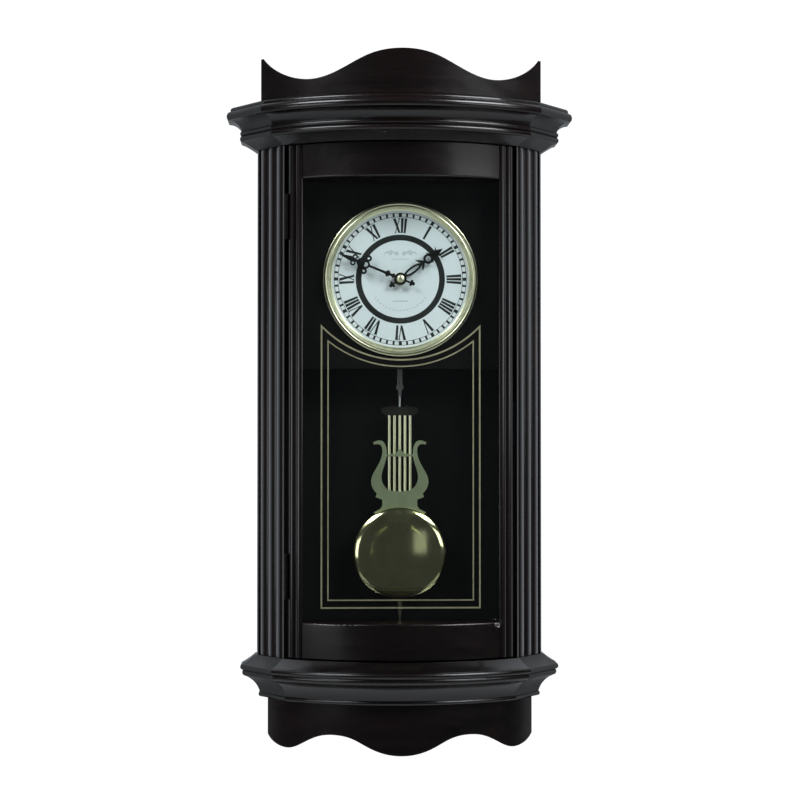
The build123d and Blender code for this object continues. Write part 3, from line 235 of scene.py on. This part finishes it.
def clear_glass():
    """Thin clear sheet: a faint green tint of what is behind it, and a mirror that grows at grazing angles."""
    finish = Finish("clear_glass")
    through = finish.nodes.new("ShaderNodeBsdfTransparent")
    cloud = finish.noise((90, 90, 90), detail=2)
    tint = finish.ramp(cloud, [(0.3, (0.950, 0.972, 0.965)), (0.7, (0.965, 0.982, 0.976))])
    finish.link(tint, through.inputs["Color"])
    mirror = finish.nodes.new("ShaderNodeBsdfGlossy")
    finish.link(finish.span(cloud, 0.02, 0.05), mirror.inputs["Roughness"])
    facing = finish.nodes.new("ShaderNodeLayerWeight")
    facing.inputs["Blend"].default_value = 0.5
    steep = finish.nodes.new("ShaderNodeMath")
    steep.operation = "POWER"
    finish.link(facing.outputs["Facing"], steep.inputs[0])
    steep.inputs[1].default_value = GRAZING_POWER
    mix = finish.nodes.new("ShaderNodeMixShader")
    share = finish.span(steep.outputs["Value"], MIRROR_AHEAD, MIRROR_GRAZING, 0.0, 1.0)
    finish.link(share, mix.inputs["Fac"])
    finish.link(through.outputs["BSDF"], mix.inputs[1])
    finish.link(mirror.outputs["BSDF"], mix.inputs[2])
    finish.link(mix.outputs["Shader"], finish.nodes["Material Output"].inputs["Surface"])
    finish.nodes.remove(finish.shader)
    return finish.material


glass = clear_glass()

FINISHES = {
    "case_wood": wood_upright,
    "inner_wood": wood_inner,
    "cover_plastic": cover_plastic,
    "steel": steel,
    "bronze": bronze,
    "brass_polished": brass_polished,
    "brass_satin": brass_satin,
    "knob_metal": knob_metal,
    "dark_casting": casting,
    "dial_enamel": enamel,
    "hand_black": hand_black,
    "glass": glass,
    "movement_plastic": black_plastic,
    "white_plastic": white_plastic,
    "magnet_black": black_plastic,
    "battery_shell": shell_green,
    "copper": copper,
    "board_green": board_green,
}
ACROSS = (
    "top_board", "bottom_board", "head_rails", "cornice_front", "lower_moulding_front", "pediment", "apron",
    "door_rail_top", "door_rail_bottom",
)
RETURNS = ("cornice_returns", "lower_moulding_returns")
SOFT_BRASS = ("hand_cap", "pendulum_rods")
AGED_BRASS = ("pendulum_tip",)
BY_NAME = ((ACROSS, wood_across), (RETURNS, wood_returns_painted_sheen), (SOFT_BRASS, brass_rim), (AGED_BRASS, brass_aged))

for name, node in nodes.items():
    slot = node.data.materials[0].name.split(".")[0]
    chosen = FINISHES[slot]
    for names, finish in BY_NAME:
        if name in names:
            chosen = finish
    for index in range(len(node.data.materials)):
        node.data.materials[index] = chosen


# ---------------------------------------------------------------- mesh helpers
SHARP_ANGLE = 32


def piece(name, mesh, body, material):
    """A finished mesh as a piece that rides on a body."""
    for polygon in mesh.polygons:
        polygon.use_smooth = True
    mesh.set_sharp_from_angle(angle=math.radians(SHARP_ANGLE))
    mesh.materials.append(material)
    made = bpy.data.objects.new(name, mesh)
    bpy.context.scene.collection.objects.link(made)
    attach(made, body)
    return made


def mesh_of(bm, name):
    bmesh.ops.recalc_face_normals(bm, faces=bm.faces)
    mesh = bpy.data.meshes.new(name)
    bm.to_mesh(mesh)
    bm.free()
    return mesh


def turned(name, section, x, z, segments):
    """Closed section of (radius, y) points turned about the line along Y through x, z."""
    bm = bmesh.new()
    rings = []
    for radius, y in section:
        if radius < 1e-6:
            rings.append([bm.verts.new((x, y, z))])
            continue
        turn = [2 * math.pi * i / segments for i in range(segments)]
        rings.append([bm.verts.new((x + radius * math.sin(a), y, z + radius * math.cos(a))) for a in turn])
    for first, second in zip(rings, rings[1:] + rings[:1]):
        if len(first) == 1 and len(second) == 1:
            continue
        for i in range(segments):
            j = (i + 1) % segments
            corners = [first[i % len(first)], first[j % len(first)], second[j % len(second)], second[i % len(second)]]
            bm.faces.new(list(dict.fromkeys(corners)))
    return mesh_of(bm, name)


def prism(bm, outline, back, front):
    """Closed slab from an outline of (x, z) points, between two y planes."""
    rear = [bm.verts.new((x, back, z)) for x, z in outline]
    fore = [bm.verts.new((x, front, z)) for x, z in outline]
    bm.faces.new(rear)
    bm.faces.new(fore)
    for i in range(len(outline)):
        j = (i + 1) % len(outline)
        bm.faces.new([rear[i], rear[j], fore[j], fore[i]])


SHARPEST_MITRE = 0.35


def band(bm, path, width, back, front, closed=False):
    """Ribbon of constant width along a path of (x, z) points, as a closed slab."""
    count = len(path)
    sides = []
    for i, (x, z) in enumerate(path):
        before = path[(i - 1) % count] if closed or i else path[i]
        after = path[(i + 1) % count] if closed or i < count - 1 else path[i]
        into = Vector((x - before[0], z - before[1])).normalized()
        out = Vector((after[0] - x, after[1] - z)).normalized()
        along = (into + out).normalized()
        normal = Vector((-along.y, along.x))
        leg = out if out.length else into
        bend = max(SHARPEST_MITRE, normal.dot(Vector((-leg.y, leg.x))))
        reach = normal * (width / 2 / bend)
        sides.append(((x + reach.x, z + reach.y), (x - reach.x, z - reach.y)))
    corners = [[bm.verts.new((p[0], y, p[1])) for p in (a, b) for y in (back, front)] for a, b in sides]
    last = count if closed else count - 1
    for i in range(last):
        a, b = corners[i], corners[(i + 1) % count]
        for j, k in ((0, 1), (1, 3), (3, 2), (2, 0)):
            bm.faces.new([a[j], a[k], b[k], b[j]])
    if not closed:
        for end in (corners[0], corners[-1]):
            bm.faces.new([end[0], end[1], end[3], end[2]])


def arc(centre, radius, start, end, steps):
    """Points round a circle in the dial plane; angles in degrees clockwise from the top."""
    turns = [math.radians(start + (end - start) * i / steps) for i in range(steps + 1)]
    return [(centre[0] + radius * math.sin(a), centre[1] + radius * math.cos(a)) for a in turns]


# ---------------------------------------------------------------- dial print
plate_low, plate_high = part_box("dial_plate")
DIAL = ((plate_low.x + plate_high.x) / 2, (plate_low.z + plate_high.z) / 2)
PLATE_FRONT = plate_low.y
INK = 0.09 * MM
RING_OUTER, RING_INNER = 41.3 * MM, 36.0 * MM
TRACK_OUTER, TRACK_INNER = 61.3 * MM, 57.7 * MM
NUMERAL_MIDDLE = 49.8 * MM
NUMERAL_HALF = 6.8
THICK, THIN, SERIF = 2.15, 0.80, 0.62


def inked(name, bm, material):
    return piece(name, mesh_of(bm, name), "case", material)


def radial(u, v, angle):
    """Numeral coordinates in millimetres (across, outward) wrapped round the dial at an angle in degrees."""
    turn = math.radians(angle) + u * MM / NUMERAL_MIDDLE
    reach = NUMERAL_MIDDLE + v * MM
    return DIAL[0] + reach * math.sin(turn), DIAL[1] + reach * math.cos(turn)


def stroke(bm, angle, low, high, width, lift):
    """One slanting stroke between two points (across, outward), cut square to the numeral's height."""
    (u0, v0), (u1, v1) = low, high
    wide = width / 2 * math.hypot(u1 - u0, v1 - v0) / abs(v1 - v0)
    outline = [(u0 - wide, v0), (u0 + wide, v0), (u1 + wide, v1), (u1 - wide, v1)]
    prism(bm, [radial(u, v, angle) for u, v in outline], PLATE_FRONT + INK, PLATE_FRONT - INK * lift)


def serif(bm, angle, u, v, half):
    edge = v - math.copysign(SERIF, v)
    outline = [(u - half, v), (u + half, v), (u + half * 0.8, edge), (u - half * 0.8, edge)]
    prism(bm, [radial(a, b, angle) for a, b in outline], PLATE_FRONT + INK, PLATE_FRONT - INK * 0.7)


ADVANCE = {"I": 2.95, "V": 6.3, "X": 6.3}


def letter(bm, kind, angle, u):
    top, foot = NUMERAL_HALF, -NUMERAL_HALF
    if kind == "I":
        stroke(bm, angle, (u, foot), (u, top), THICK, 1.0)
        for end in (top, foot):
            serif(bm, angle, u, end, 1.4)
        return
    if kind == "V":
        stroke(bm, angle, (u + 0.35, foot), (u - 2.1, top), THICK, 1.0)
        stroke(bm, angle, (u + 0.55, foot), (u + 2.5, top), THIN, 0.85)
        serif(bm, angle, u - 2.0, top, 1.55)
        serif(bm, angle, u + 2.3, top, 1.0)
        return
    stroke(bm, angle, (u + 2.0, foot), (u - 2.0, top), THICK, 1.0)
    stroke(bm, angle, (u - 2.3, foot), (u + 2.3, top), THIN, 0.85)
    for side, half in ((-1, 1.45), (1, 1.05)):
        serif(bm, angle, u + side * 2.1, top, half)
        serif(bm, angle, u - side * 2.1, foot, half)


def numerals():
    bm = bmesh.new()
    hours = ("I", "II", "III", "IIII", "V", "VI", "VII", "VIII", "IX", "X", "XI", "XII")
    for hour, text in enumerate(hours, start=1):
        place = -sum(ADVANCE[kind] for kind in text) / 2
        for kind in text:
            place += ADVANCE[kind] / 2
            letter(bm, kind, 30 * hour, place)
            place += ADVANCE[kind] / 2
    return inked("dial_numerals", bm, print_black)


def minute_track():
    bm = bmesh.new()
    for radius in (TRACK_OUTER, TRACK_INNER):
        band(bm, arc(DIAL, radius, 0, 360, 180)[:-1], 0.42 * MM, PLATE_FRONT + INK, PLATE_FRONT - INK * 0.6, True)
    for minute in range(60):
        half = 1.5 if minute % 5 == 0 else 0.95
        low, high = (TRACK_INNER / MM, TRACK_OUTER / MM)
        turn = [math.radians(6 * minute) + side * half * MM / TRACK_OUTER for side in (-1, 1)]
        outline = [
            (DIAL[0] + r * MM * math.sin(a), DIAL[1] + r * MM * math.cos(a))
            for a, r in ((turn[0], low), (turn[1], low), (turn[1], high), (turn[0], high))
        ]
        prism(bm, outline, PLATE_FRONT + INK, PLATE_FRONT - INK * 0.8)
    return inked("dial_minute_track", bm, print_black)


def hour_ring():
    bm = bmesh.new()
    middle, width = (RING_OUTER + RING_INNER) / 2, RING_OUTER - RING_INNER
    band(bm, arc(DIAL, middle, 0, 360, 180)[:-1], width, PLATE_FRONT + INK, PLATE_FRONT - INK, True)
    return inked("dial_ring", bm, print_black)


def scroll(turns, start, size, flip):
    """Spiral curl from an outer point inwards, in millimetres round its own centre."""
    points = []
    for i in range(25):
        share = i / 24
        angle = start + flip * turns * 2 * math.pi * share
        reach = size * (1 - 0.82 * share)
        points.append((reach * math.cos(angle), reach * math.sin(angle)))
    return points


def flourish():
    """Plain scrollwork above the dial's centre, with rows of dots above and below it and along an arc."""
    bm = bmesh.new()
    back, front = PLATE_FRONT + INK, PLATE_FRONT - INK * 0.5
    for side in (-1, 1):
        for centre, size, start, flip in (((9.0, 24.2), 2.5, math.pi, -1), ((3.6, 23.6), 2.0, 0.0, 1)):
            points = scroll(1.3, start, size, flip)
            path = [(DIAL[0] + side * (centre[0] + x) * MM, DIAL[1] + (centre[1] + z) * MM) for x, z in points]
            band(bm, path, 0.42 * MM, back, front)
        tail = [(11.4 + 0.9 * i, 24.2 + 1.1 * math.sin(i * 1.1)) for i in range(5)]
        band(bm, [(DIAL[0] + side * x * MM, DIAL[1] + z * MM) for x, z in tail], 0.36 * MM, back, front)
    for step in range(-3, 4):
        dot(bm, 2.3 * step, 18.6, 0.42, back, front)
        dot(bm, 2.0 * step, -20.4, 0.5, back, front)
    for step in range(-8, 9):
        turn = math.radians(180 + 6.6 * step)
        dot(bm, 29.0 * math.sin(turn), 29.0 * math.cos(turn), 0.42, back, front)
    return inked("dial_flourish", bm, print_grey)


def dot(bm, x, z, radius, back, front):
    centre = (DIAL[0] + x * MM, DIAL[1] + z * MM)
    prism(bm, arc(centre, radius * MM, 0, 360, 12)[:-1], back, front)


for printed in (numerals, minute_track, hour_ring, flourish):
    printed()


# ---------------------------------------------------------------- polished turned brass
def bulge(start, end, rise, steps):
    """Points on a shallow arc from start to end that stands off its chord by rise."""
    (r0, y0), (r1, y1) = start, end
    chord = math.hypot(r1 - r0, y1 - y0)
    nr, ny = -(y1 - y0) / chord, (r1 - r0) / chord
    radius = (chord * chord / 4 + rise * rise) / (2 * rise)
    half = math.asin(min(1.0, chord / 2 / radius))
    points = []
    for i in range(1, steps + 1):
        turn = -half + 2 * half * i / steps
        along = (math.sin(turn) / math.sin(half) + 1) / 2
        off = radius * (math.cos(turn) - math.cos(half))
        points.append((r0 + (r1 - r0) * along + nr * off, y0 + (y1 - y0) * along + ny * off))
    return points


def millimetres(points):
    return [(r * MM, y * MM) for r, y in points]


FINE_SEGMENTS = 256
bezel_low, bezel_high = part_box("bezel")
BEZEL_OUTER = (bezel_high.x - bezel_low.x) / 2 / MM
BEZEL_BACK = bezel_high.y / MM


def bezel():
    """Rolled ring with a rounded crown and a sloping inner flange, as the CAD ring but smooth."""
    back, seat = BEZEL_BACK, BEZEL_BACK - 1.1
    rim, lip = (BEZEL_OUTER - 0.4, back - 2.0), (63.6, back - 1.7)
    crown_in, crown_out = (67.0, back - 6.2), (69.4, back - 6.3)
    section = [(rim[0], back), (70.1, back), (70.1, seat), (63.7, seat), lip]
    section += bulge(lip, crown_in, 0.55, 10)
    section += bulge(crown_in, crown_out, 0.55, 12)
    section += bulge(crown_out, rim, 0.85, 12)
    mesh = turned("bezel_ring", millimetres(section), *DIAL, FINE_SEGMENTS)
    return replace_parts(piece("bezel_ring", mesh, "case", brass_rim), "bezel")


bob_low, bob_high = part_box("bob_front")
BOB = ((bob_low.x + bob_high.x) / 2, (bob_low.z + bob_high.z) / 2)
BOB_RADIUS = (bob_high.x - bob_low.x) / 2 / MM
BOB_WALL = 0.9
# Share of the radius that a stretch reaches, its slope in degrees at either end, and its steps.
BOB_STRETCHES = ((0.86, 0, 11, 24), (0.99, 13, 38, 14), (1.0, 50, 74, 4))


def bob():
    """Pressed bob: a shallow dome, a broad shoulder and a short rolled skirt, given by how steep each part is."""
    front, back = bob_low.y / MM, bob_high.y / MM
    face = [(0.0, front)]
    for reach, flat, steep, steps in BOB_STRETCHES:
        start, y = face[-1]
        run = (BOB_RADIUS * reach - start) / steps
        for i in range(steps):
            y += run * math.tan(math.radians(flat + (steep - flat) * (i + 0.5) / steps))
            face.append((start + run * (i + 1), y))
    edge = max(back, face[-1][1] + 0.2)
    inside = [(r, y + BOB_WALL) for r, y in reversed(face[:36:3])]
    section = [*face, (BOB_RADIUS, edge), (BOB_RADIUS - BOB_WALL, edge), *inside]
    mesh = turned("bob_shell", millimetres(section), *BOB, FINE_SEGMENTS)
    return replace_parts(piece("bob_shell", mesh, "pendulum", brass_polished), "bob_front")


bezel()
bob()


# ---------------------------------------------------------------- gilt lines on the glass
GLASS_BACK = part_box("door_glass")[1].y
LINE_CENTRE = 460.0


def height(h):
    """Frame height of a height above the clock's lowest point, both in millimetres."""
    return (h + cad_box[0].z / MM) * MM


def gilt_line(name, half, low, radius, width):
    """Closed gilt line: straight sides and foot, with a hollow top edge that follows the dial."""
    turn = math.degrees(math.asin(half / radius))
    top = arc((0.0, height(LINE_CENTRE)), radius * MM, 180 - turn, 180 + turn, 40)
    foot = [(-half * MM, height(low)), (half * MM, height(low))]
    bm = bmesh.new()
    band(bm, [*top, *foot], width * MM, GLASS_BACK + 0.02 * MM, GLASS_BACK + 0.09 * MM, True)
    return piece(name, mesh_of(bm, name), "door", gilt)


gilt_line("gilt_line_outer", 72.8, 131.0, 101.3, 1.45)
gilt_line("gilt_line_inner", 66.8, 138.0, 107.3, 1.15)


# ---------------------------------------------------------------- stage
DAYLIGHT = (0.93, 0.97, 1.0)
MIDDLE = (0.0, -0.05, -0.22)
# Name, place, size and watts of each light.
SOFTBOXES = (
    ("key_right", (0.98, -0.90, -0.06), (0.70, 0.40), 2.6),
    ("key_left", (-0.98, -0.90, -0.27), (0.60, 0.42), 2.4),
    ("top_right", (1.00, -0.95, 0.82), (0.80, 0.50), 22.0),
    ("top_left", (-0.95, -0.95, 0.88), (0.70, 0.50), 14.0),
    ("reflector", (0.31, -1.27, -0.27), (0.17, 0.30), 0.06),
)
FLOOR_HEIGHT, FLOOR_HALF, FLOOR_ROWS = -1.45, 2.0, 24
ROOM_GLOW, BACKDROP_GLOW, BACKDROP_SEEN = 0.05, 1.0, 1.05
CAMERA_PLACE = (-0.0589, -1.8477, -0.2508)
CAMERA_PITCH, CAMERA_YAW, LENS = 1.04, 1.86, 87.8


def aimed(obj, place, target):
    obj.location = place
    obj.rotation_mode = "QUATERNION"
    obj.rotation_quaternion = (Vector(target) - Vector(place)).to_track_quat("-Z", "Y")
    bpy.context.scene.collection.objects.link(obj)
    return obj


def softbox(name, place, size, power):
    light = bpy.data.lights.new(name, "AREA")
    light.shape = "RECTANGLE"
    light.size, light.size_y = size
    light.energy = power
    light.color = DAYLIGHT
    return aimed(bpy.data.objects.new(name, light), place, MIDDLE)


def floor():
    """Plain pale floor far below the clock."""
    bm = bmesh.new()
    rows = []
    for i in range(FLOOR_ROWS + 1):
        along = -FLOOR_HALF + 2 * FLOOR_HALF * i / FLOOR_ROWS
        rows.append([bm.verts.new((x, along, FLOOR_HEIGHT)) for x in (-FLOOR_HALF, FLOOR_HALF)])
    for first, second in zip(rows, rows[1:]):
        bm.faces.new([first[0], first[1], second[1], second[0]])
    mesh = mesh_of(bm, "floor")
    mesh.materials.append(moulded("floor_pale", (0.80, 0.80, 0.79), (0.76, 0.76, 0.75), (0.7, 0.8)))
    made = bpy.data.objects.new("floor", mesh)
    bpy.context.scene.collection.objects.link(made)


def surroundings():
    """White backdrop behind the clock and a dim room in front, so the dark lacquer keeps its depth.

    What the eye sees past the object is always the white backdrop.
    """
    world = bpy.data.worlds.new("studio")
    bpy.context.scene.world = world
    world.use_nodes = True
    tree = world.node_tree
    tree.nodes.clear()
    path = tree.nodes.new("ShaderNodeLightPath")
    direction = tree.nodes.new("ShaderNodeTexCoord")
    axes = tree.nodes.new("ShaderNodeSeparateXYZ")
    tree.links.new(direction.outputs["Generated"], axes.inputs["Vector"])
    room = tree.nodes.new("ShaderNodeMapRange")
    room.interpolation_type = "SMOOTHSTEP"
    for socket, value in zip(("From Min", "From Max", "To Min", "To Max"), (-0.15, 0.45, ROOM_GLOW, BACKDROP_GLOW)):
        room.inputs[socket].default_value = value
    tree.links.new(axes.outputs["Y"], room.inputs["Value"])
    dim = tree.nodes.new("ShaderNodeBackground")
    dim.inputs["Color"].default_value = (0.86, 0.93, 1.0, 1.0)
    tree.links.new(room.outputs["Result"], dim.inputs["Strength"])
    white = tree.nodes.new("ShaderNodeBackground")
    white.inputs["Color"].default_value = (1.0, 1.0, 1.0, 1.0)
    white.inputs["Strength"].default_value = BACKDROP_SEEN
    mix = tree.nodes.new("ShaderNodeMixShader")
    tree.links.new(path.outputs["Is Camera Ray"], mix.inputs["Fac"])
    tree.links.new(dim.outputs["Background"], mix.inputs[1])
    tree.links.new(white.outputs["Background"], mix.inputs[2])
    out = tree.nodes.new("ShaderNodeOutputWorld")
    tree.links.new(mix.outputs["Shader"], out.inputs["Surface"])


def camera():
    data = bpy.data.cameras.new("camera")
    data.sensor_width = 36.0
    data.lens = LENS
    place = Vector(CAMERA_PLACE)
    pitch, yaw = math.radians(CAMERA_PITCH), math.radians(CAMERA_YAW)
    ahead = Vector((math.sin(yaw) * math.cos(pitch), math.cos(yaw) * math.cos(pitch), math.sin(pitch)))
    bpy.context.scene.camera = aimed(bpy.data.objects.new("camera", data), place, place + ahead)


floor()
surroundings()
camera()
for softbox_row in SOFTBOXES:
    softbox(*softbox_row)
bpy.context.scene.view_settings.view_transform = "Standard"
